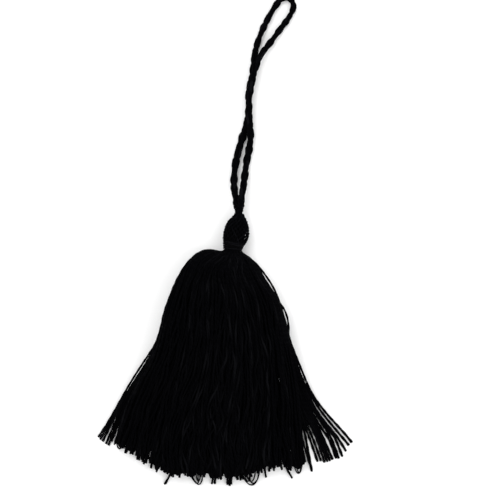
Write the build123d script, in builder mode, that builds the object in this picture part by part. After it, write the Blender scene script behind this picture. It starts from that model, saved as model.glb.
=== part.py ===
from build123d import *

import math
import os

# A handmade cotton tassel, lying on a flat surface, in millimetres.
# +Z is up from the surface, +Y runs from the skirt's hem to the hanging cord.
# The origin is on the surface, under the middle of the tassel without its cord.

# ---- driving dimensions ----

# the neck ball that the head turns on, in the top of the skirt
neck = Vector(1.65, 25.2, 3.5)
neck_ball_radius = 2.5
neck_seat_radius = 2.7
neck_room_radius = 3.7

# the head stands on the neck, tilted a little to the right
head_tilt = 10.5
binding_bottom = 1.7
binding_top = 3.3
binding_inside = 2.3
binding_outside = 2.9
binding_wraps = 3
core_bottom = 3.4
core_top = 10.3
core_radius = 2.8
knot_radius = 1.4
knot_height = 7.0
net_inside = 3.05
net_outside = 3.5

# the netted collar round the cord's foot
collar_bottom = 35.95
collar_top = 38.5
collar_x = 3.6
collar_foot_radius = 1.05
collar_mouth_radius = 1.6

# the hanging cord
cord_diameter = 1.8
arc_share = 0.45

# the skirt's hem is an arc about this centre, and its locks have a little air between them
hem_x = -1.5
hem_y = 8.0
hem_radius = 46.2
lock_air = 0.3
skirt_height = 20.0
back_share = 0.3
side_share = 0.5
shoulder_power = 2.6
below_surface = 1.0

# sections across the skirt, from the neck to beyond the hem: y, left x, right x, thickness
skirt_sections = [
    (26.0, -5.4, 4.0, 6.0),
    (25.0, -8.2, 5.2, 7.4),
    (23.0, -10.9, 7.4, 9.6),
    (20.0, -12.8, 10.2, 11.4),
    (15.0, -15.3, 13.3, 12.8),
    (8.0, -17.9, 15.9, 13.0),
    (0.0, -19.3, 17.5, 11.8),
    (-10.0, -23.6, 19.0, 9.4),
    (-20.0, -28.2, 20.2, 7.8),
    (-30.0, -31.5, 21.6, 6.4),
    (-40.0, -34.0, 22.8, 5.0),
]
front_locks = 6
back_locks = 5

# the fans of single threads that splay from the skirt's sides
fan_thickness = 2.4
left_fan_outline = [
    (-19.8, 1.2),
    (-20.5, 0.8),
    (-23.6, -5.2),
    (-26.9, -11.8),
    (-31.0, -18.6),
    (-34.8, -25.2),
    (-32.2, -27.2),
    (-28.9, -20.4),
    (-24.3, -10.4),
    (-19.9, -0.4),
]
right_fan_outline = [
    (17.9, 1.4),
    (18.5, 1.2),
    (21.6, -8.4),
    (24.8, -15.0),
    (28.8, -21.4),
    (34.8, -26.4),
    (32.0, -30.6),
    (26.6, -32.6),
    (22.6, -33.2),
    (22.0, -30.0),
    (20.6, -20.0),
    (19.4, -10.0),
]

# the hanging cord's route, from the collar up the left leg, round the eye and back down
cord_route = [
    (2.85, 38.5, 2.75),
    (2.85, 39.9, 2.75),
    (2.35, 42.0, 2.35),
    (2.15, 44.6, 1.5),
    (2.3, 47.6, 0.98),
    (2.75, 50.6, 0.94),
    (3.45, 53.4, 0.98),
    (4.3, 56.4, 0.92),
    (5.5, 60.0, 0.96),
    (6.3, 63.8, 0.92),
    (6.05, 67.6, 0.97),
    (6.6, 71.5, 0.92),
    (7.5, 75.5, 0.96),
    (7.75, 79.4, 0.92),
    (8.7, 83.4, 0.97),
    (10.3, 87.3, 0.92),
    (12.6, 91.7, 0.97),
    (14.8, 94.9, 0.95),
    (16.8, 95.6, 0.93),
    (18.4, 94.4, 0.93),
    (18.65, 92.4, 0.95),
    (16.9, 89.3, 0.93),
    (14.4, 86.1, 1.05),
    (12.1, 82.9, 1.5),
    (9.7, 80.0, 2.35),
    (8.1, 76.4, 2.85),
    (7.2, 72.4, 2.82),
    (6.4, 68.6, 2.86),
    (6.35, 64.6, 2.86),
    (6.55, 60.8, 2.55),
    (6.85, 57.4, 1.75),
    (6.45, 54.0, 1.08),
    (5.75, 51.0, 0.95),
    (5.35, 48.2, 1.05),
    (5.05, 45.4, 2.0),
    (4.65, 42.6, 3.5),
    (4.15, 40.1, 4.25),
    (4.15, 38.5, 4.25),
]


def head_plane():
    """The plane that holds the head's outline: x across it, y along it from the neck."""
    tilt = math.radians(head_tilt)
    across = Vector(math.cos(tilt), -math.sin(tilt), 0)
    return Plane(origin=neck, x_dir=across, z_dir=(0, 0, 1))


def head_axis():
    """The head's own axis, from the neck towards the cord."""
    tilt = math.radians(head_tilt)
    return Axis(neck, Vector(math.sin(tilt), math.cos(tilt), 0))


def arc_radii(points):
    """The radius at each corner of a route: a share of the shorter run beside it."""
    radii = []
    for before, corner, after in zip(points, points[1:], points[2:]):
        run_in = Vector(*corner) - Vector(*before)
        run_out = Vector(*after) - Vector(*corner)
        half_turn = math.radians(run_in.get_angle(run_out)) / 2
        shorter = min(run_in.length, run_out.length)
        radii.append(arc_share * shorter / math.tan(half_turn))
    return radii


def save(piece, name):
    """Labels a finished piece and writes it."""
    piece.part.label = name
    export_step(piece.part, f"parts/{name}.step")


def lock_height(side, thickness):
    """The top of the skirt at a place from -1, its left side, to 1, its right side."""
    crown = 1 - abs(side) ** shoulder_power
    return thickness * (side_share + (1 - side_share) * crown)


def make_lock(name, left, right, front):
    """One lock of threads between two places across the skirt, in its front or back layer."""
    with BuildPart() as lock:
        for y, x_left, x_right, thickness in skirt_sections:
            middle = (x_left + x_right) / 2
            half = (x_right - x_left) / 2
            x0 = middle + left * half + lock_air / 2
            x1 = middle + right * half - lock_air / 2
            parting = back_share * thickness
            with BuildSketch(Plane(origin=(0, y, 0), x_dir=(1, 0, 0), z_dir=(0, -1, 0))):
                with BuildLine():
                    if front:
                        low = parting + lock_air / 2
                        crown = lock_height((left + right) / 2, thickness)
                        Line((x0, low), (x1, low))
                        Line((x1, low), (x1, lock_height(right, thickness)))
                        ThreePointArc(
                            (x1, lock_height(right, thickness)),
                            ((x0 + x1) / 2, crown + lock_air),
                            (x0, lock_height(left, thickness)),
                        )
                        Line((x0, lock_height(left, thickness)), (x0, low))
                    else:
                        high = parting - lock_air / 2
                        Polyline(
                            (x0, -below_surface),
                            (x1, -below_surface),
                            (x1, high),
                            (x0, high),
                            close=True,
                        )
                make_face()
        loft()
        with BuildSketch(Plane.XY):
            with Locations((hem_x, hem_y)):
                Circle(hem_radius)
        extrude(amount=skirt_height, mode=Mode.INTERSECT)
        with Locations(neck):
            Sphere(neck_room_radius, mode=Mode.SUBTRACT)
    save(lock, name)


def make_fan(name, outline):
    """A flat fan of separate threads beside the skirt."""
    with BuildPart() as fan:
        with BuildSketch(Plane.XY):
            with BuildLine():
                Polyline(*outline, close=True)
            make_face()
        extrude(amount=fan_thickness)
    save(fan, name)


os.makedirs("parts", exist_ok=True)

# ---- the skirt: locks of threads side by side, in a front and a back layer ----

for number in range(front_locks):
    start = -1 + 2 * number / front_locks
    make_lock(f"front_lock_{number + 1}", start, start + 2 / front_locks, True)
for number in range(back_locks):
    start = -1 + 2 * number / back_locks
    make_lock(f"back_lock_{number + 1}", start, start + 2 / back_locks, False)

make_fan("left_fan", left_fan_outline)
make_fan("right_fan", right_fan_outline)

# ---- the neck: threads packed into a tight ball that the head turns on ----

with BuildPart() as neck_threads:
    with Locations(neck):
        Sphere(neck_ball_radius)
save(neck_threads, "neck_threads")

# ---- the head ----

# wraps of thread round the neck, one rounded band each
with BuildPart() as neck_binding:
    wrap = (binding_top - binding_bottom) / binding_wraps
    with BuildSketch(head_plane()):
        with BuildLine():
            for number in range(binding_wraps):
                low = binding_bottom + number * wrap
                ThreePointArc(
                    (binding_outside, low),
                    (binding_outside + wrap / 4, low + wrap / 2),
                    (binding_outside, low + wrap),
                )
            Polyline(
                (binding_outside, binding_top),
                (binding_inside, binding_top),
                (binding_inside, binding_bottom),
                (binding_outside, binding_bottom),
            )
        make_face()
    revolve(axis=head_axis())
    with Locations(neck):
        Sphere(neck_seat_radius, mode=Mode.SUBTRACT)
save(neck_binding, "neck_binding")

# the folded top of the hank, with the cord's knot in its hollow
with BuildPart() as head_core:
    with BuildSketch(head_plane()):
        with BuildLine():
            Spline(
                (binding_inside - 0.1, core_bottom),
                (core_radius, (core_bottom + core_top) / 2),
                (0, core_top),
                tangents=[(0.3, 1), (-1, 0)],
            )
            Polyline((0, core_top), (0, core_bottom), (binding_inside - 0.1, core_bottom))
        make_face()
    revolve(axis=head_axis())
    with Locations(head_plane().from_local_coords(Vector(0, knot_height, 0))):
        Sphere(knot_radius, mode=Mode.SUBTRACT)
save(head_core, "head_core")

with BuildPart() as cord_knot:
    with Locations(head_plane().from_local_coords(Vector(0, knot_height, 0))):
        Sphere(knot_radius)
save(cord_knot, "cord_knot")

# the knotted lattice drawn over the core, open at the neck
with BuildPart() as head_net:
    net_bottom = binding_top + 0.1
    with BuildSketch(head_plane()):
        with BuildLine():
            Spline(
                (binding_outside, net_bottom),
                (net_outside, net_bottom + 2.9),
                (1.25, core_top + 0.55),
                tangents=[(0.3, 1), (-1, 0.45)],
            )
            Line((1.25, core_top + 0.55), (0.9, core_top + 0.2))
            Spline(
                (0.9, core_top + 0.2),
                (net_inside, net_bottom + 2.9),
                (binding_outside - 0.4, net_bottom),
                tangents=[(1, -0.45), (-0.3, -1)],
            )
            Line((binding_outside - 0.4, net_bottom), (binding_outside, net_bottom))
        make_face()
    revolve(axis=head_axis())
save(head_net, "head_net")

# the rounds of netting that close the cover round the cord's foot
with BuildPart() as cord_collar:
    with BuildSketch(Plane(origin=(collar_x, collar_bottom, neck.Z), z_dir=(0, 1, 0))):
        Circle(collar_foot_radius)
    with BuildSketch(Plane(origin=(collar_x, collar_top, neck.Z), z_dir=(0, 1, 0))):
        Circle(collar_mouth_radius)
    loft()
save(cord_collar, "cord_collar")

# ---- the hanging cord, folded in two with an eye at its end ----

radii = arc_radii(cord_route)
with BuildPart() as hanging_cord:
    with BuildLine() as route:
        FilletPolyline(*cord_route, radius=radii)
    with BuildSketch(Plane(origin=cord_route[0], z_dir=(0, 1, 0))):
        Circle(cord_diameter / 2)
    sweep()
save(hanging_cord, "hanging_cord")

section = math.pi * cord_diameter**2 / 4
cord_length = route.wires()[0].length
print("cord length, mm:", round(cord_length, 2))
print("cord volume over its section times length:", hanging_cord.part.volume / section / cord_length)
print("cord radii, mm:", [round(radius, 2) for radius in radii])
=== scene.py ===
import math

import bpy
import numpy as np
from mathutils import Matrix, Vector


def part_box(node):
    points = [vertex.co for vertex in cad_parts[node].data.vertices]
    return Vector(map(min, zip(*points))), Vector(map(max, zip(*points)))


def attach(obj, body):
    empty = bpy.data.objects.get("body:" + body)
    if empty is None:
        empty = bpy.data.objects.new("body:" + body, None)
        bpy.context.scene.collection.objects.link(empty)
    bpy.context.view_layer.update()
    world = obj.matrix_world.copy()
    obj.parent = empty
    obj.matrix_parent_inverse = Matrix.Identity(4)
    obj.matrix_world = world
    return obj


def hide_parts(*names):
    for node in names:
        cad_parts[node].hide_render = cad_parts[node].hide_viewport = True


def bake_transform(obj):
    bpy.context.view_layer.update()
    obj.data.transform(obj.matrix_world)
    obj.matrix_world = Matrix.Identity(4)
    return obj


# A cotton thread tassel that lies on a table: a cord loop, a netted head, a bound neck and a skirt.
# Shapes are worked out in millimetres and turned to metres where a mesh is made.

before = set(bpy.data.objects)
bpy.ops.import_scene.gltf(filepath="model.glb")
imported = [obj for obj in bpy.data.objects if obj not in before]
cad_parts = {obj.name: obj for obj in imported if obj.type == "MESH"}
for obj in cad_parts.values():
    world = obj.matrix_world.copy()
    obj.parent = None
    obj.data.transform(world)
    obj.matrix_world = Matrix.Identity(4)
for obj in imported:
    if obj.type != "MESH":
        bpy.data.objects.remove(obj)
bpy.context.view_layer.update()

MM = 0.001
dice = np.random.default_rng(20)

# ---- sizes taken from the frame, in millimetres ----


def middle(node):
    """The middle of a CAD node's box, in millimetres."""
    low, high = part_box(node)
    return np.array((low + high) / 2) / MM


NECK = middle("neck_threads")
COLLAR = middle("cord_collar")
HEAD_TILT = math.radians(10.5)

# ---- thread sizes, in millimetres ----

# a thread's number is its radius, and its pitch is the length of one turn of its plies
THREAD = 0.31  # the skirt's thread
THREAD_PITCH = 2.8
BINDING_THREAD = 0.29
BINDING_PITCH = 2.2
NET_THREAD = 0.17
NET_PITCH = 1.6
LOOP_THREAD = 0.2  # an uncut loop's thread, pulled thin where it turns
CORD_PITCH = 7.6  # one turn of the cord's two strands
YARN = 0.37
YARN_PITCH = 4.4  # one turn of a strand's three yarns
YARN_PLY_PITCH = 1.9
STRAND_OUT = 0.2  # from the cord's middle to a strand's
YARN_OUT = 0.35  # from a strand's middle to a yarn's
PLIES = 2
SKIRT_SIDES = 7  # sides of a skirt thread's tube
FINE_SIDES = 6  # sides of the finer and hidden tubes

# ---- how the dye has taken ----

RAREST = 4  # the higher, the fewer threads are pale
PATCH = 1.6  # a paler patch is about five times as long as this
PATCH_SHIFT = 40  # moves each thread's patches to places of their own


# ---- materials ----


def linear(colour):
    """An sRGB hex colour as the linear values that Blender's sockets take."""
    parts = [int(colour[k : k + 2], 16) / 255 for k in (0, 2, 4)]
    return (*(p / 12.92 if p <= 0.04045 else ((p + 0.055) / 1.055) ** 2.4 for p in parts), 1.0)


def add(tree, kind, values=None, links=None):
    """Adds a node, sets its sockets and properties, and links its sockets to other nodes' outputs."""
    made = tree.nodes.new(kind)
    for name, value in (values or {}).items():
        if isinstance(name, int) or name in made.inputs:
            made.inputs[name].default_value = value
        else:
            setattr(made, name, value)
    for name, output in (links or {}).items():
        tree.links.new(output, made.inputs[name])
    return made


def spun_cotton(name, deep, pale_dye_and_ridge_light, ply_turn, grain, sheen):
    """Dyed cotton spun and plied into thread: dull, with dark grooves between the plies, which the
    colour also darkens as painted shade, and a soft bloom where loose fibres catch the light. Most
    lengths take the dye fully, and a few stay paler."""
    material = bpy.data.materials.new(name)
    material.use_nodes = True
    tree = material.node_tree
    tree.nodes.clear()
    lay = add(tree, "ShaderNodeUVMap", {"uv_map": "lay"})
    split = add(tree, "ShaderNodeSeparateXYZ", None, {"Vector": lay.outputs["UV"]})
    # the plies' ridges run round the thread, one turn for each ply_turn of its length
    along = add(tree, "ShaderNodeMath", {"operation": "DIVIDE", 1: ply_turn}, {0: split.outputs["X"]})
    turned = add(
        tree, "ShaderNodeMath", {"operation": "ADD"}, {0: along.outputs[0], 1: split.outputs["Y"]}
    )
    angle = add(
        tree, "ShaderNodeMath", {"operation": "MULTIPLY", 1: math.pi * PLIES}, {0: turned.outputs[0]}
    )
    wave = add(tree, "ShaderNodeMath", {"operation": "SINE"}, {0: angle.outputs[0]})
    ridge = add(tree, "ShaderNodeMath", {"operation": "ABSOLUTE"}, {0: wave.outputs[0]})
    # fibres lie along the plies, fine and broken
    fibre_lay = add(
        tree, "ShaderNodeCombineXYZ", {"Z": 0.0}, {"X": split.outputs["X"], "Y": turned.outputs[0]}
    )
    fibre_scale = add(
        tree, "ShaderNodeMapping", {"Scale": (1.1, 9.0 * PLIES, 1.0)}, {"Vector": fibre_lay.outputs[0]}
    )
    fibres = add(
        tree,
        "ShaderNodeTexNoise",
        {"Scale": grain, "Detail": 3.0, "Roughness": 0.6},
        {"Vector": fibre_scale.outputs[0]},
    )
    height = add(
        tree,
        "ShaderNodeMath",
        {"operation": "MULTIPLY_ADD", 1: 0.45},
        {0: fibres.outputs["Fac"], 2: ridge.outputs[0]},
    )
    bump = add(
        tree, "ShaderNodeBump", {"Strength": 0.75, "Distance": 0.00012}, {"Height": height.outputs[0]}
    )
    # the dye: its own tone for each thread; the ply ridges are painted paler and the grooves darker,
    # which is painted shade in the grooves as well as rubbed wear on the ridges
    dye = add(tree, "ShaderNodeAttribute", {"attribute_name": "dye"})
    ridge_wear_and_groove_shade = add(
        tree,
        "ShaderNodeMath",
        {"operation": "MULTIPLY"},
        {0: ridge.outputs[0], 1: fibres.outputs["Fac"]},
    )
    shade = add(
        tree,
        "ShaderNodeMath",
        {"operation": "MULTIPLY_ADD", 1: 0.4},
        {0: ridge_wear_and_groove_shade.outputs[0], 2: dye.outputs["Fac"]},
    )
    # deep to pale: the pale end carries both the paler dye and the painted light on the ply ridges
    colour = add(
        tree,
        "ShaderNodeMix",
        {"data_type": "RGBA", "A": linear(deep), "B": linear(pale_dye_and_ridge_light)},
        {"Factor": shade.outputs[0]},
    )
    rough = add(
        tree,
        "ShaderNodeMapRange",
        {"To Min": 0.92, "To Max": 0.72},
        {"Value": fibres.outputs["Fac"]},
    )
    skin = add(
        tree,
        "ShaderNodeBsdfPrincipled",
        {
            "IOR": 1.53,
            "Specular IOR Level": 0.011,
            "Sheen Weight": sheen,
            "Sheen Roughness": 0.45,
            "Sheen Tint": (0.8, 0.85, 1.0, 1.0),
        },
        {
            "Base Color": colour.outputs["Result"],
            "Roughness": rough.outputs["Result"],
            "Normal": bump.outputs["Normal"],
        },
    )
    add(tree, "ShaderNodeOutputMaterial", None, {"Surface": skin.outputs["BSDF"]})
    return material


# Two-ply tassel cotton, dyed black: fine, matt, with the plies just to be seen.
SKIRT_COTTON = spun_cotton("two-ply black cotton", "010102", "0b0b0d", THREAD_PITCH, 1.2, 0.0014)
# The same cotton pulled tight round the neck, which presses it smooth.
BINDING_COTTON = spun_cotton("tight-wound black cotton", "020202", "101013", BINDING_PITCH, 1.0, 0.002)
# Finer cotton, hard-twisted, for the knotted cover.
NET_COTTON = spun_cotton("knotted black cotton", "020203", "0d0d10", NET_PITCH, 1.6, 0.002)
# Yarns of the twisted cord: thicker and softer, so their fibres bloom more.
CORD_COTTON = spun_cotton("corded black cotton", "010102", "0c0c0f", YARN_PLY_PITCH, 1.0, 0.002)


# ---- places ----


# ---- thread tools ----


def smooth(controls, count):
    """Count points along each smooth curve; controls are (curves, points, 3) and the ends are kept."""
    first = 2 * controls[:, :1] - controls[:, 1:2]
    last = 2 * controls[:, -1:] - controls[:, -2:-1]
    run = np.concatenate([first, controls, last], axis=1)
    spans = controls.shape[1] - 1
    at = np.linspace(0, spans, count)
    span = np.minimum(at.astype(int), spans - 1)
    t = (at - span)[None, :, None]
    a, b, c, d = (run[:, span + step] for step in range(4))
    return (
        (1 - t) ** 3 * a
        + (3 * t**3 - 6 * t**2 + 4) * b
        + (-3 * t**3 + 3 * t**2 + 3 * t + 1) * c
        + t**3 * d
    ) / 6


def unit(vectors):
    """Vectors of length one."""
    return vectors / np.maximum(np.linalg.norm(vectors, axis=-1, keepdims=True), 1e-12)


def frames(lines):
    """Two directions across each line at each of its points, carried along it without twisting."""
    along = unit(np.gradient(lines, axis=1))
    side = np.empty_like(lines)
    start = np.where(np.abs(along[:, 0, 2:3]) < 0.9, [[0.0, 0.0, 1.0]], [[1.0, 0.0, 0.0]])
    held = unit(np.cross(along[:, 0], start))
    for ring in range(lines.shape[1]):
        held = unit(held - (held * along[:, ring]).sum(-1, keepdims=True) * along[:, ring])
        side[:, ring] = held
    return side, np.cross(along, side)


class Threads:
    """Gathers tubes of thread and makes one mesh piece of them."""

    def __init__(self):
        self.corners, self.faces, self.flat = [], [], []
        self.lay, self.strips, self.dye = [], [], []
        self.corner_count = 0
        self.thread_count = 0

    def add(self, lines, radius, sides=8, pitch=THREAD_PITCH, groove=0.14):
        """Tubes along lines, (threads, rings, 3) in mm; radius is a number or (threads, rings)."""
        threads, rings = lines.shape[:2]
        radius = np.broadcast_to(np.asarray(radius, float), (threads, rings))
        across, up = frames(lines)
        steps = np.linalg.norm(np.diff(lines, axis=1), axis=2)
        far = np.concatenate([np.zeros((threads, 1)), np.cumsum(steps, axis=1)], axis=1)
        turn = dice.random((threads, 1))
        angle = 2 * np.pi * np.arange(sides) / sides
        twist = 2 * np.pi * (far / pitch + turn)[..., None]
        swell = 1 + groove * np.cos(PLIES * angle - twist) - groove / 2
        reach = (radius[..., None] * swell)[..., None]
        ring = across[:, :, None] * np.cos(angle)[:, None] + up[:, :, None] * np.sin(angle)[:, None]
        corners = lines[:, :, None] + reach * ring
        number = self.corner_count + np.arange(threads * rings * sides).reshape(threads, rings, sides)
        here, there = number[:, :-1], number[:, 1:]
        quads = np.stack([here, np.roll(here, -1, 2), np.roll(there, -1, 2), there], axis=-1)
        self.corners.append(corners.reshape(-1, 3))
        # a pale thread is pale in short lengths, where the dye took less well
        patches = 0.5 + 0.5 * np.sin(far / PATCH + PATCH_SHIFT * turn)
        pale = dice.random((threads, 1)) ** RAREST * patches
        self.dye.append(np.repeat(pale.ravel(), sides))
        self.faces += quads.reshape(-1, 4).tolist()
        self.flat += [False] * (threads * (rings - 1) * sides)
        # lay: millimetres along the thread, and turns round it
        near, next_far = far[:, :-1, None], far[:, 1:, None]
        low = np.broadcast_to(np.arange(sides) / sides, quads.shape[:3])
        lay = np.empty((*quads.shape[:3], 4, 2))
        lay[..., 0, 0] = lay[..., 1, 0] = near
        lay[..., 2, 0] = lay[..., 3, 0] = next_far
        lay[..., 0, 1] = lay[..., 3, 1] = low
        lay[..., 1, 1] = lay[..., 2, 1] = low + 1 / sides
        self.lay.append(lay.reshape(-1, 2))
        # a strip of its own for each thread in the flat map: its number, then places across and along it
        strip = np.empty((*quads.shape[:3], 4, 3))
        strip[..., 0] = (self.thread_count + np.arange(threads))[:, None, None, None]
        strip[..., 1] = lay[..., 1] * 0.9 + 0.05
        strip[..., 2] = lay[..., 0] / far[:, -1].max() * 0.98 + 0.01
        self.strips.append(strip.reshape(-1, 3))
        # both ends are closed
        for end, order in ((0, -1), (-1, 1)):
            rims = number[:, end, ::order]
            self.faces += rims.tolist()
            self.flat += [True] * threads
            self.lay.append(np.zeros((threads * sides, 2)))
            cap = np.repeat(strip[:, 0, 0, 0], sides, axis=0)
            cap[:, 1:] = 0.5
            self.strips.append(cap)
        self.corner_count += threads * rings * sides
        self.thread_count += threads
        return self

    def make(self, name, material):
        """The piece, in metres, with its two maps and each thread's dye."""
        mesh = bpy.data.meshes.new(name)
        corners = np.concatenate(self.corners) * MM
        mesh.from_pydata(corners.tolist(), [], self.faces)
        mesh.polygons.foreach_set("use_smooth", ~np.array(self.flat))
        lay = mesh.uv_layers.new(name="lay")
        lay.data.foreach_set("uv", np.concatenate(self.lay).astype(np.float32).ravel())
        strips = np.concatenate(self.strips)
        across = (strips[:, 0] + strips[:, 1]) / self.thread_count
        strip_map = np.stack([across, strips[:, 2]], axis=1)
        bake = mesh.uv_layers.new(name="OFBake")
        bake.data.foreach_set("uv", strip_map.astype(np.float32).ravel())
        dye = mesh.attributes.new("dye", "FLOAT", "POINT")
        dye.data.foreach_set("value", np.concatenate(self.dye).astype(np.float32))
        mesh.materials.append(material)
        mesh.update()
        piece = bpy.data.objects.new(name, mesh)
        bpy.context.scene.collection.objects.link(piece)
        return piece


# ---- the skirt ----

# how a thread leaves the neck and turns over the shoulder, row by row:
# left x, left y, right x, right y, top z, top y, bottom z
SHOULDER = np.array([
    (0.2, 27.2, 3.6, 27.1, 5.1, 27.1, 1.8),
    (-0.1, 26.3, 3.7, 26.1, 5.35, 26.2, 1.6),
    (-1.2, 25.35, 4.3, 25.2, 6.5, 25.2, 0.9),
    (-3.1, 26.05, 5.3, 24.5, 7.9, 24.2, 0.5),
    (-5.7, 26.1, 6.4, 23.7, 9.2, 23.1, 0.4),
    (-8.3, 24.8, 7.5, 22.6, 10.3, 22.0, 0.32),
    (-10.7, 22.5, 8.25, 21.4, 11.1, 21.0, 0.32),
])
# the skirt below the shoulder: y, left x, right x, thickness
SKIRT = np.array([
    (20.0, -12.2, 9.15, 11.3),
    (17.8, -13.3, 10.6, 12.1),
    (16.2, -14.2, 11.5, 12.3),
    (14.5, -14.9, 13.1, 12.5),
    (13.0, -15.4, 13.9, 12.6),
    (11.2, -16.0, 14.4, 12.7),
    (8.0, -17.0, 15.2, 12.7),
    (4.7, -17.8, 16.1, 12.3),
    (1.4, -18.6, 16.9, 11.8),
    (-2.0, -19.8, 17.5, 11.2),
    (-5.2, -21.3, 18.3, 10.4),
    (-10.0, -23.8, 19.1, 9.2),
    (-15.0, -26.2, 19.8, 8.4),
    (-20.0, -28.3, 19.9, 7.6),
    (-26.0, -30.2, 20.5, 6.6),
    (-40.0, -32.4, 22.2, 4.6),
])
# the hem: x, y
HEM = np.array([
    (-31.0, -27.0),
    (-28.0, -27.8),
    (-24.8, -29.4),
    (-22.3, -30.9),
    (-19.5, -32.7),
    (-16.8, -34.4),
    (-14.0, -35.3),
    (-10.5, -35.3),
    (-8.0, -34.9),
    (-5.0, -35.6),
    (2.0, -35.9),
    (5.6, -35.2),
    (8.4, -34.4),
    (10.2, -33.7),
    (13.0, -33.1),
    (18.0, -33.2),
    (20.5, -33.4),
    (23.0, -30.8),
])
WAIST_Y = 20.0
SHOULDER_UNREST = 0.4  # how far a thread strays on the shoulder
ROWS = 17  # control rows between the shoulder and the hem
RINGS = 128  # rings of a skirt thread's tube
SQUARENESS = 0.8  # 1 is a round section, and less is squarer
EVEN_Y = -12.0  # where the threads are spaced evenly round the skirt
HEM_Y = -30.0  # where a thread's place across the hem is read
CLUMP = 1.7  # width of a clump of threads that lie together
SWAY = 0.04  # how far a thread wanders round the skirt on its way down, in radians
# each layer's depth in the skirt, from 1 outside to 0 in the middle, and the spacing of its threads
LAYERS = ((1.0, 0.58), (0.93, 0.62), (0.84, 0.66), (0.70, 0.74), (0.52, 0.9), (0.30, 1.1))
# how far threads stray across and in depth, in millimetres: at the waist, and how much more at the hem
STRAY_ACROSS = (0.32, 0.30)
STRAY_DEEP = (0.20, 0.12)
TOGETHER = 0.6  # how much of a thread's straying its whole clump shares
# how far a thread's end drifts across and in depth, in millimetres
DRIFT = (0.8, 0.3)
RAGGED = 0.75  # how unevenly the hem is cut
# share of a thread's length, and its thickness beside the usual: pressed thin in the neck, and blunt
# and a little frayed at its cut end
FULLNESS = np.array([
    (0.0, 0.55),
    (0.05, 0.6),
    (0.15, 1.0),
    (0.94, 1.0),
    (0.985, 1.22),
    (1.0, 0.95),
])


def skirt_at(y):
    """The skirt's left side, right side and thickness at y."""
    return tuple(np.interp(-y, -SKIRT[:, 0], SKIRT[:, column]) for column in (1, 2, 3))


def round_to_place(angle):
    """Where an angle round a section lies, across and up, each from -1 to 1. The base is flatter."""
    across = np.sign(np.cos(angle)) * np.abs(np.cos(angle)) ** SQUARENESS
    lift = np.where(np.sin(angle) > 0, SQUARENESS, SQUARENESS * 0.6)
    up = np.sign(np.sin(angle)) * np.abs(np.sin(angle)) ** lift
    return across, up


def skirt_place(angle, depth, y):
    """A place in the skirt at y: depth is 1 on the outside and 0 in the middle."""
    left, right, thick = skirt_at(y)
    across, up = round_to_place(angle)
    x = (left + right) / 2 + depth * across * (right - left) / 2
    z = thick / 2 * (1 + depth * up)
    return x, z


def shoulder_places(angle, depth, unrest):
    """Threads' control points over the shoulder, (threads, rows, 3); unrest grows from the neck."""
    across, up = round_to_place(angle)
    rows = []
    for row, (left_x, left_y, right_x, right_y, top_z, top_y, bottom_z) in enumerate(SHOULDER):
        x = (left_x + right_x) / 2 + depth * across * (right_x - left_x) / 2
        z = (top_z + bottom_z) / 2 + depth * up * (top_z - bottom_z) / 2
        side_y = np.where(across < 0, left_y, right_y)
        y = top_y + (side_y - top_y) * np.abs(across) * depth
        loose = unrest * np.interp(row, [1, 4, 6], [0, 1, 0.6]) * (1 - 0.35 * np.abs(across) ** 3)
        x = x + loose * dice.normal(0, 1, len(x))
        z = z + 0.5 * loose * dice.normal(0, 1, len(x))
        rows.append(np.stack([x, y, z], axis=1))
    return np.stack(rows, axis=1)


def even_angles(count):
    """Angles that space count threads evenly round the skirt at EVEN_Y, and its girth there."""
    fine = np.linspace(0, 2 * np.pi, 1441)
    x, z = skirt_place(fine, 1.0, np.full(fine.shape, EVEN_Y))
    far = np.concatenate([[0], np.cumsum(np.hypot(np.diff(x), np.diff(z)))])
    return np.interp((np.arange(count) + 0.5) / count * far[-1], far, fine), far[-1]


def squeeze(rings):
    """A skirt thread's radius at each ring of its tube."""
    return THREAD * np.interp(np.linspace(0, 1, rings), FULLNESS[:, 0], FULLNESS[:, 1])


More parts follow.
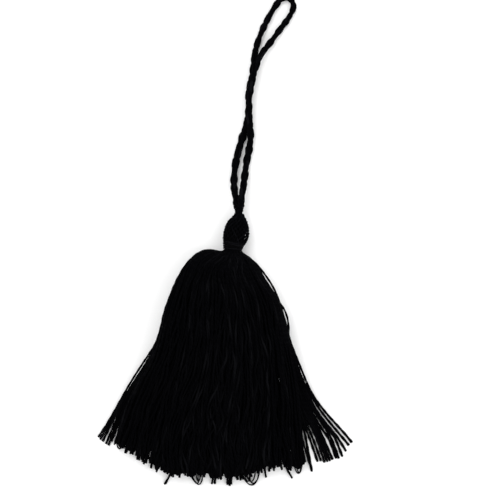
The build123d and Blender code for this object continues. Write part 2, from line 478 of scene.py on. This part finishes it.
def skirt_threads():
    """All the skirt's threads: their lines, and where each lies, as its angle and depth."""
    angles, depths, clumps = [], [], []
    girth = even_angles(8)[1]
    for depth, spacing in LAYERS:
        count = int(girth * depth / spacing)
        angles.append(even_angles(count)[0] + dice.normal(0, 0.3 / count, count))
        depths.append(np.full(count, depth) + dice.normal(0, 0.012, count))
        # clump numbers are shifted from layer to layer, so that a clump isn't the skirt's full depth
        clumps.append((np.arange(count) * spacing / CLUMP + 9 * depth).astype(int))
    angle, depth, clump = np.concatenate(angles), np.concatenate(depths), np.concatenate(clumps)
    count = len(angle)
    across = round_to_place(angle)[0]
    # threads at the skirt's sides are held straighter than those in its middle
    free = 1 - 0.72 * np.abs(across * depth) ** 4
    shared = dice.normal(0, 1, (ROWS, clump.max() + 1))
    shared_end = dice.normal(0, 0.5, clump.max() + 1)
    hem_x = skirt_place(angle, depth, np.full(count, HEM_Y))[0]
    ragged = np.abs(dice.normal(0, RAGGED, count)) - 0.4 * RAGGED + shared_end[clump]
    end_y = np.interp(hem_x, HEM[:, 0], HEM[:, 1]) + ragged
    drift = dice.normal(0, 1, (count, 2))
    sway = dice.uniform(0.6, 1.7, count), dice.random(count)
    rows = []
    for row in range(ROWS):
        share = row / (ROWS - 1)
        y = WAIST_Y + (end_y - WAIST_Y) * share
        swung = SWAY * free * np.sin(2 * np.pi * (sway[0] * share + sway[1]))
        x, z = skirt_place(angle + swung, depth, y)
        loose = (STRAY_ACROSS[0] + STRAY_ACROSS[1] * share) * free
        x = x + loose * (dice.normal(0, 1, count) + TOGETHER * shared[row, clump])
        x = x + DRIFT[0] * share**1.5 * drift[:, 0] * free
        z = z + (STRAY_DEEP[0] + STRAY_DEEP[1] * share) * dice.normal(0, 1, count)
        z = z + DRIFT[1] * share * drift[:, 1]
        rows.append(np.stack([x, y, np.maximum(z, THREAD)], axis=1))
    lower = np.stack(rows, axis=1)
    controls = np.concatenate([shoulder_places(angle, depth, SHOULDER_UNREST), lower], axis=1)
    lines = smooth(controls, RINGS)
    lines[..., 2] = np.maximum(lines[..., 2], THREAD * 1.05)
    return lines, angle, depth


FRONT_LOCKS = 6
BACK_LOCKS = 5
PARTING = 0.3  # threads above this share of the skirt's thickness are the front locks'


def make_skirt():
    """Gathers the skirt's threads into its locks, by lock name."""
    lines, angle, depth = skirt_threads()
    across, up = round_to_place(angle)
    place = np.clip(across * depth, -0.999, 0.999)
    front = (1 + depth * up) / 2 > PARTING
    locks = {}
    for layer, count, chosen in (("front", FRONT_LOCKS, front), ("back", BACK_LOCKS, ~front)):
        number = ((place + 1) / 2 * count).astype(int)
        for lock in range(count):
            inside = chosen & (number == lock)
            strands = Threads().add(lines[inside], squeeze(RINGS), SKIRT_SIDES)
            locks[f"{layer}_lock_{lock + 1}"] = strands
    return locks


# ---- uncut loops and stray ends at the hem ----

# the low part of each uncut loop, as x, y from its left leg round to its right leg
HEM_LOOPS = (
    ((-29.9, -24.6), (-30.1, -27.6), (-29.3, -28.9), (-28.5, -27.8), (-28.3, -24.8)),
    ((-29.6, -25.0), (-29.6, -27.4), (-29.1, -28.3), (-28.6, -27.2), (-28.2, -24.2)),
    ((-28.9, -25.2), (-27.9, -28.2), (-26.4, -29.3), (-25.0, -28.9), (-24.0, -25.6)),
    ((-28.2, -25.0), (-27.2, -28.0), (-26.0, -28.8), (-25.1, -28.2), (-24.6, -25.2)),
    ((-27.6, -25.6), (-26.4, -28.9), (-25.4, -29.5), (-24.3, -28.6), (-23.4, -25.4)),
    ((-10.5, -33.2), (-9.9, -35.8), (-8.7, -37.4), (-7.4, -38.8), (-6.4, -37.2), (-6.3, -33.6)),
    ((-9.7, -34.0), (-9.2, -36.4), (-8.3, -37.8), (-7.6, -38.4), (-7.6, -36.6), (-7.9, -33.6)),
    ((-8.4, -34.0), (-8.2, -36.6), (-7.5, -37.9), (-7.0, -36.2), (-6.9, -33.2)),
    ((4.5, -33.6), (4.8, -36.6), (6.1, -38.4), (7.6, -38.6), (8.8, -37.1), (9.0, -34.8), (8.2, -32.6)),
    ((5.4, -34.0), (5.9, -36.9), (7.0, -37.9), (7.9, -36.5), (8.2, -33.6)),
    ((6.3, -34.4), (6.5, -37.2), (7.3, -38.3), (8.4, -37.6), (9.2, -35.6), (9.2, -33.2)),
    ((4.9, -34.6), (5.5, -37.5), (6.4, -37.6), (7.0, -35.0)),
    ((18.5, -30.8), (18.8, -33.9), (19.8, -35.8), (20.9, -34.3), (21.0, -31.0)),
    ((19.2, -31.4), (19.4, -34.2), (20.2, -35.6), (20.8, -33.6), (20.6, -30.4)),
)
# x, y of each stray's end, and how far it leans from straight down
STRAYS = (
    (-16.9, -38.3, -2.6),
    (-16.6, -38.1, -2.2),
    (-3.9, -38.2, -0.8),
    (-3.1, -38.2, -0.4),
    (0.4, -38.4, 0.1),
    (1.0, -38.7, 0.2),
    (1.5, -38.3, 0.2),
    (3.1, -37.1, 0.3),
    (4.0, -37.2, -0.2),
    (4.7, -37.0, 0.2),
    (11.0, -36.4, 0.7),
    (18.2, -36.6, 2.6),
    (-24.4, -31.4, -0.4),
    (-23.9, -31.7, -0.4),
    (-22.9, -32.2, -0.4),
    (-20.6, -33.9, -0.5),
    (11.9, -34.8, 0.2),
    (13.2, -34.6, 0.3),
    (23.2, -33.4, 1.4),
)
# a thread that has slipped out of place: it stands off the right shoulder twice, then lies down again
SLIPPED = (
    (3.6, 27.0, 4.0),
    (4.0, 25.6, 4.2),
    (6.3, 24.2, 4.8),
    (8.8, 21.9, 5.2),
    (10.85, 19.2, 5.2),
    (12.2, 17.2, 5.2),
    (13.05, 15.7, 5.2),
    (13.8, 14.2, 5.2),
    (14.3, 12.7, 5.2),
    (14.9, 11.3, 5.4),
    (16.0, 9.9, 5.5),
    (16.7, 8.1, 5.6),
    (17.1, 6.2, 5.6),
    (17.2, 4.2, 5.4),
    (17.1, 2.0, 5.0),
    (17.2, -2.0, 4.6),
    (17.4, -9.0, 3.6),
    (17.8, -18.0, 2.6),
    (18.3, -27.0, 1.8),
    (18.8, -32.4, 1.2),
)
TUCKED = 13.0  # how far up the skirt a loop's legs and a stray's root are followed


def place_at(x, y):
    """How far across the skirt x, y lies, from 0 to 1."""
    left, right, _ = skirt_at(y)
    return min(max((x - left) / (right - left), 0.03), 0.97)


def lock_at(x, y):
    """The name of the front lock whose threads lie at x, y."""
    return f"front_lock_{int(place_at(x, y) * FRONT_LOCKS) + 1}"


def root_of(x, y):
    """Where the thread that hangs at x, y lies higher up the skirt."""
    left, right, thick = skirt_at(y + TUCKED)
    return (left + place_at(x, y) * (right - left), y + TUCKED, thick * 0.45)


def hem_loop(low_part):
    """A thread that turns back at the hem, uncut."""
    first, last = low_part[0], low_part[-1]
    turn = [(x, y, 0.45 + 0.5 * (step % 2)) for step, (x, y) in enumerate(low_part)]
    path = [root_of(*first), (*first, 1.4), *turn[1:-1], (*last, 1.2), root_of(*last)]
    return smooth(np.array([path]), 90)


def stray_end(x, y, lean):
    """A thread that hangs past the hem."""
    start = (x - lean, y + 4.5)
    path = [root_of(*start), (*start, 1.5), (x - lean * 0.5, y + 2.2, 0.8), (x, y, 0.4)]
    return smooth(np.array([path]), 50)


# ---- the fans of threads that splay from the skirt's sides ----

FAN_TOP_Y = 1.0  # where a fan's threads leave the skirt
FAN_ROOT_ROWS = 6
FAN_UNREST = 0.1
FRAYED = 1.2  # a cut end untwists, so it is thicker
# y of the fan's rows; then each thread's x at the rows and its tip's x, y, from the outermost inwards
LEFT_ROWS = (-3.6, -10.2, -16.8, -21.7)
LEFT_FAN = (
    (-21.9, -26.25, -29.85, -32.65, -35.1, -25.3),
    (-21.0, -25.4, -29.35, -32.1, -34.6, -26.0),
    (-20.6, -25.0, -28.85, -31.5, -33.9, -26.5),
    (-20.3, -24.7, -28.35, -30.65, -33.0, -27.2),
    (-20.1, -24.4, -27.85, -30.1, -32.3, -27.6),
    (-19.9, -24.1, -27.4, -29.6, -31.5, -26.6),
)
LEFT_RADIUS = (0.29, 0.30)  # outermost thread, innermost thread
RIGHT_ROWS = (-7.0, -13.0, -18.4, -23.4, -25.4)
RIGHT_FAN = (
    (20.9, 23.15, 27.1, 31.8, 33.5, 34.6, -26.8),
    (19.9, 22.7, 26.1, 30.3, 32.0, 33.8, -27.6),
    (19.75, 22.2, 24.9, 29.0, 30.7, 33.0, -29.2),
    (19.6, 21.9, 24.6, 28.4, 29.95, 32.0, -30.7),
    (19.45, 21.6, 24.2, 27.6, 28.9, 31.0, -31.2),
    (19.3, 21.2, 23.4, 26.5, 28.2, 30.3, -31.2),
    (19.1, 20.7, 22.9, 25.7, 26.7, 29.3, -31.5),
    (18.9, 20.3, 22.4, 25.0, 26.0, 28.6, -31.9),
    (18.7, 20.0, 21.9, 24.4, 25.4, 27.9, -32.1),
    (18.5, 19.7, 21.5, 23.8, 24.8, 27.1, -32.3),
    (18.3, 19.5, 21.0, 22.9, 23.8, 26.1, -31.9),
    (18.1, 19.2, 20.5, 22.1, 22.9, 25.2, -32.1),
    (17.8, 18.8, 20.2, 21.45, 21.9, 23.6, -34.8),
)
RIGHT_RADIUS = (0.34, 0.32)
RIGHT_STAND_OFF = 0.035
FAN_HEIGHTS = (2.9, 2.1, 1.2, 0.8, 0.5, 0.4)  # at the rows, and the tips' last


def fan_threads(table, row_heights, side, stand_off):
    """A fan's threads from the neck to their tips. They leave the skirt at the angle side, and the
    outermost one stands off it by a share of the skirt's half width."""
    table = np.array(table)
    count = len(table)
    angle = side + np.linspace(0.0, 0.5, count) * np.cos(side)
    depth = 1 + stand_off * np.linspace(1, 0, count) ** 2
    places = [shoulder_places(angle, depth, FAN_UNREST)]
    for y in np.linspace(WAIST_Y, FAN_TOP_Y, FAN_ROOT_ROWS):
        x, z = skirt_place(angle, depth, np.full(count, y))
        x = x + FAN_UNREST * dice.normal(0, 1, count)
        places.append(np.stack([x, np.full(count, y), z], axis=1)[:, None])
    for row, y in enumerate(row_heights):
        z = FAN_HEIGHTS[row] + 0.12 * dice.normal(0, 1, count)
        places.append(np.stack([table[:, row], np.full(count, y), z], axis=1)[:, None])
    tip_x, tip_y = table[:, -2], table[:, -1]
    tip = np.stack([tip_x, tip_y, np.full(count, FAN_HEIGHTS[-1])], axis=1)[:, None]
    nearly = places[-1] * 0.42 + tip * 0.58
    nearly[..., 2] = 0.5
    places += [nearly, tip]
    return smooth(np.concatenate(places, axis=1), RINGS)


def make_fan(locks, name, table, row_heights, radii, side, stand_off, lock):
    """A fan's loose ends as one piece; their upper parts go with the lock that they lie on."""
    lines = fan_threads(table, row_heights, side, stand_off)
    rows = len(SHOULDER) + FAN_ROOT_ROWS + len(row_heights) + 2
    cut = round((len(SHOULDER) + FAN_ROOT_ROWS - 1) / (rows - 1) * (RINGS - 1))
    locks[lock].add(lines[:, : cut + 1], squeeze(RINGS)[: cut + 1], SKIRT_SIDES)
    share = np.linspace(0, 1, RINGS - cut)
    full = np.linspace(*radii, len(lines))[:, None] * FRAYED
    radius = THREAD + (full - THREAD) * np.interp(share, [0, 0.4, 0.97, 1], [0, 0.5, 1, 0.6])
    return Threads().add(lines[:, cut:], radius).make(name, SKIRT_COTTON)


# ---- the head ----

ACROSS = np.array([math.cos(HEAD_TILT), -math.sin(HEAD_TILT), 0.0])
ALONG = np.array([math.sin(HEAD_TILT), math.cos(HEAD_TILT), 0.0])
UP = np.array([0.0, 0.0, 1.0])

# the folded hank, and the net over it: height above the neck's middle, radius, shift across
CORE = np.array([
    (3.25, 2.52, -0.05),
    (3.9, 2.74, -0.10),
    (5.0, 2.90, -0.17),
    (6.8, 2.80, -0.16),
    (8.2, 2.38, -0.08),
    (9.4, 1.60, 0.05),
    (10.2, 0.85, 0.12),
    (10.6, 0.30, 0.10),
])
NET = np.array([
    (3.0, 2.86, 0.0),
    (4.0, 3.14, 0.12),
    (5.3, 3.32, 0.20),
    (6.2, 3.26, 0.20),
    (7.15, 3.08, 0.17),
    (8.0, 2.84, 0.13),
    (8.75, 2.48, 0.14),
    (9.7, 1.84, 0.18),
    (10.45, 1.30, 0.15),
    (11.1, 1.10, 0.0),
])
NET_COUNT = 17  # lines that wind each way
NET_TURN = 1.95  # how far a line winds round the head, in radians
NET_WEAVE = 0.07  # how far a line passes over and under
BINDING_TURNS = 4.25
BINDING_STEP = 0.53  # how far up the neck each turn climbs
BINDING_FOOT = 1.1


def on_head(height, angle, radius, shift):
    """Points at angles round the head's axis, in millimetres."""
    out = np.cos(angle)[..., None] * ACROSS + np.sin(angle)[..., None] * UP
    return NECK + height[..., None] * ALONG + shift[..., None] * ACROSS + radius[..., None] * out


def meridians(profile, count, inset, rings):
    """Lines that run up a round shape, evenly about it."""
    angle = 2 * np.pi * np.arange(count)[:, None] / count + dice.normal(0, 0.03, (count, len(profile)))
    height = np.broadcast_to(profile[:, 0], angle.shape)
    radius = np.broadcast_to(np.maximum(profile[:, 1] - inset, 0.05), angle.shape)
    shift = np.broadcast_to(profile[:, 2], angle.shape)
    return smooth(on_head(height, angle, radius, shift), rings)


def crossing_lines(height, radius, shift, count, turn, place, weave):
    """Two families of lines that wind opposite ways round a shape, passing over and under."""
    share = (height - height[0]) / (height[-1] - height[0])
    families = []
    for way in (1, -1):
        start = 2 * np.pi * np.arange(count)[:, None] / count
        angle = start + way * turn * share
        # the lines meet count times a turn, and every other meeting goes over
        meet = way * np.cos(count * angle / 2 - way * np.pi * np.arange(count)[:, None])
        heights, shifts = np.broadcast_to(height, angle.shape), np.broadcast_to(shift, angle.shape)
        families.append(place(heights, angle, radius + weave * meet, shifts))
    return families


def knots(points, size, threads):
    """Small turned knots at points: each is a short thread wound once round on itself."""
    turn = np.linspace(0, 2 * np.pi * 1.1, 9)
    tilt = dice.normal(0, 0.5, (len(points), 1))
    spin = dice.random((len(points), 1)) * 2 * np.pi
    ring = np.stack(
        [
            np.cos(turn + spin) * size,
            np.sin(turn + spin) * size * np.cos(tilt),
            np.sin(turn + spin) * size * np.sin(tilt) + (turn / turn[-1] - 0.5) * size * 0.5,
        ],
        axis=-1,
    )
    threads.add(points[:, None] + ring, NET_THREAD * 0.95, FINE_SIDES, NET_PITCH)


def make_core():
    """The folded top of the hank: ribs of thread over a packed middle."""
    core = Threads()
    core.add(meridians(CORE, 30, 0.24, 46), THREAD * 0.92, pitch=BINDING_PITCH)
    core.add(meridians(CORE, 22, 0.72, 24), THREAD * 1.3, FINE_SIDES)
    core.add(meridians(CORE, 12, 1.5, 16), THREAD * 1.9, FINE_SIDES)
    return core.make("folded_hank", SKIRT_COTTON)


def make_net():
    """The knotted lattice over the head."""
    share = np.linspace(0, 1, 64)
    height = NET[0, 0] + (NET[-1, 0] - NET[0, 0]) * share
    radius = np.interp(height, NET[:, 0], NET[:, 1])
    shift = np.interp(height, NET[:, 0], NET[:, 2])
    net = Threads()
    for lines in crossing_lines(height, radius, shift, NET_COUNT, NET_TURN, on_head, NET_WEAVE):
        lines = lines + dice.normal(0, 0.03, (NET_COUNT, 1, 3))
        net.add(lines, NET_THREAD, FINE_SIDES, NET_PITCH)
    meetings = []
    levels = NET_COUNT * NET_TURN / np.pi
    for level in range(1, int(levels)):
        high = height[0] + (height[-1] - height[0]) * (level / levels)
        angle = 2 * np.pi * (np.arange(NET_COUNT) + (level % 2) / 2) / NET_COUNT
        reach = np.full(NET_COUNT, np.interp(high, NET[:, 0], NET[:, 1]))
        moved = np.full(NET_COUNT, np.interp(high, NET[:, 0], NET[:, 2]))
        meetings.append(on_head(np.full(NET_COUNT, high), angle, reach, moved))
    knots(np.concatenate(meetings), 0.19, net)
    return net.make("knotted_cover", NET_COTTON)


def make_binding():
    """Thread wound tight round the neck, from its foot up to the net's edge."""
    turn = np.linspace(0, 2 * np.pi * BINDING_TURNS, 200)
    share = turn / turn[-1]
    height = BINDING_FOOT + BINDING_STEP * turn / (2 * np.pi)
    radius = np.interp(share, [0, 0.3, 0.6, 1], [2.36, 2.56, 2.7, 2.74]) + 0.03 * np.sin(turn * 1.7)
    # the lowest wrap lies square across the skirt, and the highest square to the tilted head
    tilt = HEAD_TILT * (0.15 + 0.85 * share)
    across = np.stack([np.cos(tilt), -np.sin(tilt), 0 * tilt], axis=1)
    angle = turn - 0.6
    out = np.cos(angle)[:, None] * across + np.sin(angle)[:, None] * UP
    lines = (NECK + height[:, None] * ALONG + radius[:, None] * out)[None]
    wraps = Threads().add(lines, BINDING_THREAD, 10, BINDING_PITCH)
    return wraps.make("neck_wraps", BINDING_COTTON)


def make_neck():
    """The threads packed in the neck, which the binding holds: one in the middle and three rings."""
    places = [(0.0, 0.0)]
    for ring, count in ((0.6, 6), (1.15, 12), (1.65, 17)):
        places += [
            (ring * math.cos(2 * math.pi * k / count), ring * math.sin(2 * math.pi * k / count))
            for k in range(count)
        ]
    height = np.array([-2.2, -0.9, 0.3, 1.3, 2.1])
    across, lift = np.array(places).T
    controls = (
        NECK
        + height[None, :, None] * ALONG
        + across[:, None, None] * ACROSS
        + lift[:, None, None] * UP
    )
    packed = Threads().add(smooth(controls, 20), THREAD, FINE_SIDES)
    return packed.make("packed_neck", SKIRT_COTTON)


def rope_lines(path, pitch, yarn_pitch, strand_out, yarn_out, size=1.0):
    """The yarns of a two-strand rope along a path, (6, points, 3): three yarns to a strand. Size is how
    thick the rope is at each point, beside its usual thickness."""
    size = np.broadcast_to(size, len(path))[:, None]
    across, up = frames(path[None])
    far = np.concatenate([[0], np.cumsum(np.linalg.norm(np.diff(path, axis=0), axis=1))])

    def out(angle):
        """Directions across the path at an angle round it."""
        return np.cos(angle)[:, None] * across[0] + np.sin(angle)[:, None] * up[0]

    lines = []
    for strand in range(2):
        angle = 2 * np.pi * far / pitch + np.pi * strand
        strand_line = path + size * strand_out * out(angle)
        for yarn in range(3):
            turn = -2 * np.pi * far / yarn_pitch + 2 * np.pi * yarn / 3 + angle
            lines.append(strand_line + size * yarn_out * out(turn))
    return np.stack(lines)


def make_knot():
    """The knot in the cord's two ends, inside the head."""
    turn = np.linspace(0, 2 * np.pi, 90)
    reach = 0.34 * (2 + np.cos(3 * turn))
    x, y, z = reach * np.cos(2 * turn), 0.42 * np.sin(3 * turn), reach * np.sin(2 * turn)
    path = middle("cord_knot") + np.stack([x, y, z], axis=1)
    yarns = rope_lines(path, pitch=2.4, yarn_pitch=1.4, strand_out=0.13, yarn_out=0.09)
    return Threads().add(yarns, 0.12, FINE_SIDES, pitch=1.4).make("ends_knot", CORD_COTTON)


# ---- the hanging cord ----

# the cord's route from the collar, up its left leg, round the eye and back, in metres
ROUTE = (
    (0.00285, 0.0385, 0.00275),
    (0.00285, 0.0399, 0.00275),
    (0.00235, 0.0420, 0.00235),
    (0.00215, 0.0446, 0.0015),
    (0.0023, 0.0476, 0.00098),
    (0.00275, 0.0506, 0.00094),
    (0.00345, 0.0534, 0.00098),
    (0.0043, 0.0564, 0.00092),
    (0.0055, 0.0600, 0.00096),
    (0.0063, 0.0638, 0.00092),
    (0.00605, 0.0676, 0.00097),
    (0.0066, 0.0715, 0.00092),
    (0.0075, 0.0755, 0.00096),
    (0.00775, 0.0794, 0.00092),
    (0.0087, 0.0834, 0.00097),
    (0.0103, 0.0873, 0.00092),
    (0.0126, 0.0917, 0.00097),
    (0.0148, 0.0949, 0.00095),
    (0.0168, 0.0956, 0.00093),
    (0.0184, 0.0944, 0.00093),
    (0.01865, 0.0924, 0.00095),
    (0.0169, 0.0893, 0.00093),
    (0.0144, 0.0861, 0.00105),
    (0.0121, 0.0829, 0.0015),
    (0.0097, 0.0800, 0.00235),
    (0.0081, 0.0764, 0.00285),
    (0.0072, 0.0724, 0.00282),
    (0.0064, 0.0686, 0.00286),
    (0.00635, 0.0646, 0.00286),
    (0.00655, 0.0608, 0.00255),
    (0.00685, 0.0574, 0.00175),
    (0.00645, 0.0540, 0.00108),
    (0.00575, 0.0510, 0.00095),
    (0.00535, 0.0482, 0.00105),
    (0.00505, 0.0454, 0.002),
    (0.00465, 0.0426, 0.0035),
    (0.00415, 0.0401, 0.00425),
    (0.00415, 0.0385, 0.00425),
)
# how full the cord is beside its usual thickness, by its share of the length: the legs' twist is slack
LEG_FULLNESS = np.array([
    (0.0, 1.1),
    (0.04, 1.2),
    (0.10, 1.25),
    (0.18, 1.22),
    (0.28, 1.12),
    (0.38, 1.1),
    (0.46, 1.0),
    (0.55, 1.0),
    (0.62, 1.1),
    (0.80, 1.14),
    (0.88, 1.26),
    (0.96, 1.2),
    (1.0, 1.1),
])


def smooth_route(points):
    """The smooth line that a soft cord takes along its route, in metres."""
    curve = bpy.data.curves.new("cord_route", "CURVE")
    curve.dimensions = "3D"
    spline = curve.splines.new("NURBS")
    spline.points.add(len(points) - 1)
    for point, place in zip(spline.points, points):
        point.co = (*place, 1.0)
    spline.order_u = 3
    spline.use_endpoint_u = True
    spline.resolution_u = 16
    bare = bpy.data.objects.new("cord_route", curve)
    mesh = bpy.data.meshes.new_from_object(bare)
    line = np.array([vertex.co for vertex in mesh.vertices], float)
    bpy.data.meshes.remove(mesh)
    bpy.data.objects.remove(bare)
    bpy.data.curves.remove(curve)
    return line


def make_cord():
    """The twisted cord, folded in two."""
    path = smooth_route(ROUTE)
    # the twist is slack in the legs and tight round the eye
    share = np.linspace(0, 1, len(path))
    size = np.interp(share, LEG_FULLNESS[:, 0], LEG_FULLNESS[:, 1])
    size = size + 0.03 * np.sin(share * 47) + 0.02 * np.sin(share * 111 + 1)
    yarns = rope_lines(path / MM, CORD_PITCH, YARN_PITCH, STRAND_OUT, YARN_OUT, size)
    yarns[..., 2] = np.maximum(yarns[..., 2], YARN * size)
    cord = Threads().add(yarns, YARN * size[None], pitch=YARN_PLY_PITCH, groove=0.1)
    cord = cord.make("twisted_cord", CORD_COTTON)
    return cord


# the netted rounds about the cord's foot: y, radius
COLLAR_SHAPE = np.array([
    (35.4, 0.95),
    (36.1, 0.74),
    (36.9, 0.88),
    (37.8, 1.12),
    (38.6, 1.32),
    (39.0, 1.38),
])
COLLAR_COUNT = 7
COLLAR_TURN = 2.3
COLLAR_WEAVE = 0.08
# where each of the cord's ends lies deep in the collar
DEEP_ENDS = ((3.35, 35.2, 3.3), (3.75, 35.2, 3.7))


def on_collar(height, angle, radius, shift):
    """Points round the cord's foot, in millimetres; height is their y."""
    x = COLLAR[0] - 0.05 + shift + radius * np.cos(angle)
    return np.stack([x, height, COLLAR[2] + radius * np.sin(angle)], axis=-1)


def make_collar():
    """Rounds of netting about the cord's two ends, where they go into the head."""
    share = np.linspace(0, 1, 36)
    height = COLLAR_SHAPE[0, 0] + (COLLAR_SHAPE[-1, 0] - COLLAR_SHAPE[0, 0]) * share
    radius = np.interp(height, COLLAR_SHAPE[:, 0], COLLAR_SHAPE[:, 1])
    collar = Threads()
    turn, weave = COLLAR_TURN, COLLAR_WEAVE
    for lines in crossing_lines(height, radius, 0.0, COLLAR_COUNT, turn, on_collar, weave):
        collar.add(lines, NET_THREAD * 0.95, FINE_SIDES, NET_PITCH)
    meetings = []
    levels = COLLAR_COUNT * COLLAR_TURN / np.pi
    for level in range(1, int(levels)):
        high = np.full(COLLAR_COUNT, height[0] + (height[-1] - height[0]) * level / levels)
        angle = 2 * np.pi * (np.arange(COLLAR_COUNT) + (level % 2) / 2) / COLLAR_COUNT
        reach = np.interp(high, COLLAR_SHAPE[:, 0], COLLAR_SHAPE[:, 1]) + 0.04
        meetings.append(on_collar(high, angle, reach, 0.0))
    knots(np.concatenate(meetings), 0.2, collar)
    # the cord's two ends inside the rounds, drawn together as they go into the head
    for end, deep in zip((ROUTE[0], ROUTE[-1]), DEEP_ENDS):
        x, y, z = (value / MM for value in end)
        path = [deep, (deep[0], 36.2, deep[2]), (x, 37.6, z), (x, y, z)]
        tail = smooth(np.array([path]), 30)[0]
        size = np.interp(tail[:, 1], [35.2, 36.4, 38.5], [0.45, 0.5, 1.1])
        yarns = rope_lines(tail, CORD_PITCH, YARN_PITCH, STRAND_OUT, YARN_OUT, size)
        collar.add(yarns, YARN * size[None], pitch=YARN_PLY_PITCH)
    return collar.make("cord_rounds", NET_COTTON)


# ---- the camera, straight above ----

VIEW_WIDTH = 0.1375
VIEW_MIDDLE = (0.0066, 0.0261)
CAMERA_HEIGHT = 0.9
camera_data = bpy.data.cameras.new("camera")
camera_data.sensor_width = 36
camera_data.lens = camera_data.sensor_width * CAMERA_HEIGHT / VIEW_WIDTH
camera = bpy.data.objects.new("camera", camera_data)
camera.location = (*VIEW_MIDDLE, CAMERA_HEIGHT)
bpy.context.scene.collection.objects.link(camera)
bpy.context.scene.camera = camera

# ---- making the pieces: the cord first ----

cord = make_cord()

locks = make_skirt()
for low_part in HEM_LOOPS:
    locks[lock_at(*low_part[0])].add(hem_loop(low_part), LOOP_THREAD)
for x, y, lean in STRAYS:
    locks[lock_at(x, y)].add(stray_end(x, y, lean), THREAD)

LEFT_LOCK, RIGHT_LOCK = "front_lock_1", f"front_lock_{FRONT_LOCKS}"
locks[RIGHT_LOCK].add(smooth(np.array([SLIPPED]), RINGS), squeeze(RINGS), SKIRT_SIDES)
left_fan = make_fan(
    locks, "left_splay", LEFT_FAN, LEFT_ROWS, LEFT_RADIUS, side=np.pi, stand_off=0.0, lock=LEFT_LOCK
)
right_fan = make_fan(
    locks,
    "right_splay",
    RIGHT_FAN,
    RIGHT_ROWS,
    RIGHT_RADIUS,
    side=0.0,
    stand_off=RIGHT_STAND_OFF,
    lock=RIGHT_LOCK,
)

# each lock's threads are made into one piece in place, and the lock's CAD node is hidden
for node, threads in locks.items():
    lock = threads.make(node + "_threads", SKIRT_COTTON)
    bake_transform(lock)
    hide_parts(node)

for fan, body, node, x in (
    (left_fan, "left_threads", "left_fan", -20),
    (right_fan, "right_threads", "right_fan", 18),
):
    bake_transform(fan)
    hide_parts(node)

for piece, body, node, slot in (
    (make_neck(), "neck", "neck_threads", "skirt_cotton"),
    (make_core(), "head", "head_core", "skirt_cotton"),
    (make_net(), "head", "head_net", "net_cotton"),
    (make_binding(), "head", "neck_binding", "binding_cotton"),
    (make_knot(), "head", "cord_knot", "cord_cotton"),
    (make_collar(), "cord_foot", "cord_collar", "net_cotton"),
    (cord, "cord_loop", "hanging_cord", "cord_cotton"),
):
    # the wraps, the rounds and the cord are left in place, and the rest ride on one body
    if node == "neck_binding":
        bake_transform(piece)
    elif node == "cord_collar":
        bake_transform(piece)
    elif node == "hanging_cord":
        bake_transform(piece)
    else:
        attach(piece, body)
    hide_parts(node)


# ---- floor and light ----


def plain_paper(name, colour):
    """Smooth white card: matt, with nothing to see in it."""
    material = bpy.data.materials.new(name)
    material.use_nodes = True
    tree = material.node_tree
    tree.nodes.clear()
    speckle = add(tree, "ShaderNodeTexNoise", {"Scale": 900.0, "Detail": 2.0})
    bump = add(
        tree,
        "ShaderNodeBump",
        {"Strength": 0.03, "Distance": 0.0001},
        {"Height": speckle.outputs["Fac"]},
    )
    skin = add(
        tree,
        "ShaderNodeBsdfPrincipled",
        {"Base Color": linear(colour), "Roughness": 0.9, "Specular IOR Level": 0.1},
        {"Normal": bump.outputs["Normal"]},
    )
    add(tree, "ShaderNodeOutputMaterial", None, {"Surface": skin.outputs["BSDF"]})
    return material


HALF_FLOOR = 1.5
floor_mesh = bpy.data.meshes.new("table")
floor_corners = [(x * HALF_FLOOR, y * HALF_FLOOR, 0) for x, y in ((-1, -1), (1, -1), (1, 1), (-1, 1))]
floor_mesh.from_pydata(floor_corners, [], [(0, 1, 2, 3)])
floor_mesh.materials.append(plain_paper("white card", "f6f6f6"))
floor = bpy.data.objects.new("table", floor_mesh)
bpy.context.scene.collection.objects.link(floor)


def area_light(name, place, target, size, watts):
    """A soft square lamp that faces target."""
    lamp = bpy.data.lights.new(name, "AREA")
    lamp.shape = "SQUARE"
    lamp.size = size
    lamp.energy = watts
    holder = bpy.data.objects.new(name, lamp)
    holder.location = place
    holder.rotation_euler = (Vector(target) - Vector(place)).to_track_quat("-Z", "Y").to_euler()
    bpy.context.scene.collection.objects.link(holder)


area_light("key", (-0.4, 0.6, 1.0), (0, 0, 0), size=0.9, watts=7.5)
area_light("fill", (0.8, -0.4, 0.8), (0, 0, 0), size=0.9, watts=5)

world = bpy.data.worlds.new("room")
world.use_nodes = True
world.node_tree.nodes["Background"].inputs["Color"].default_value = (1, 1, 1, 1)
world.node_tree.nodes["Background"].inputs["Strength"].default_value = 1.0
bpy.context.scene.world = world
bpy.context.scene.view_settings.view_transform = "Standard"
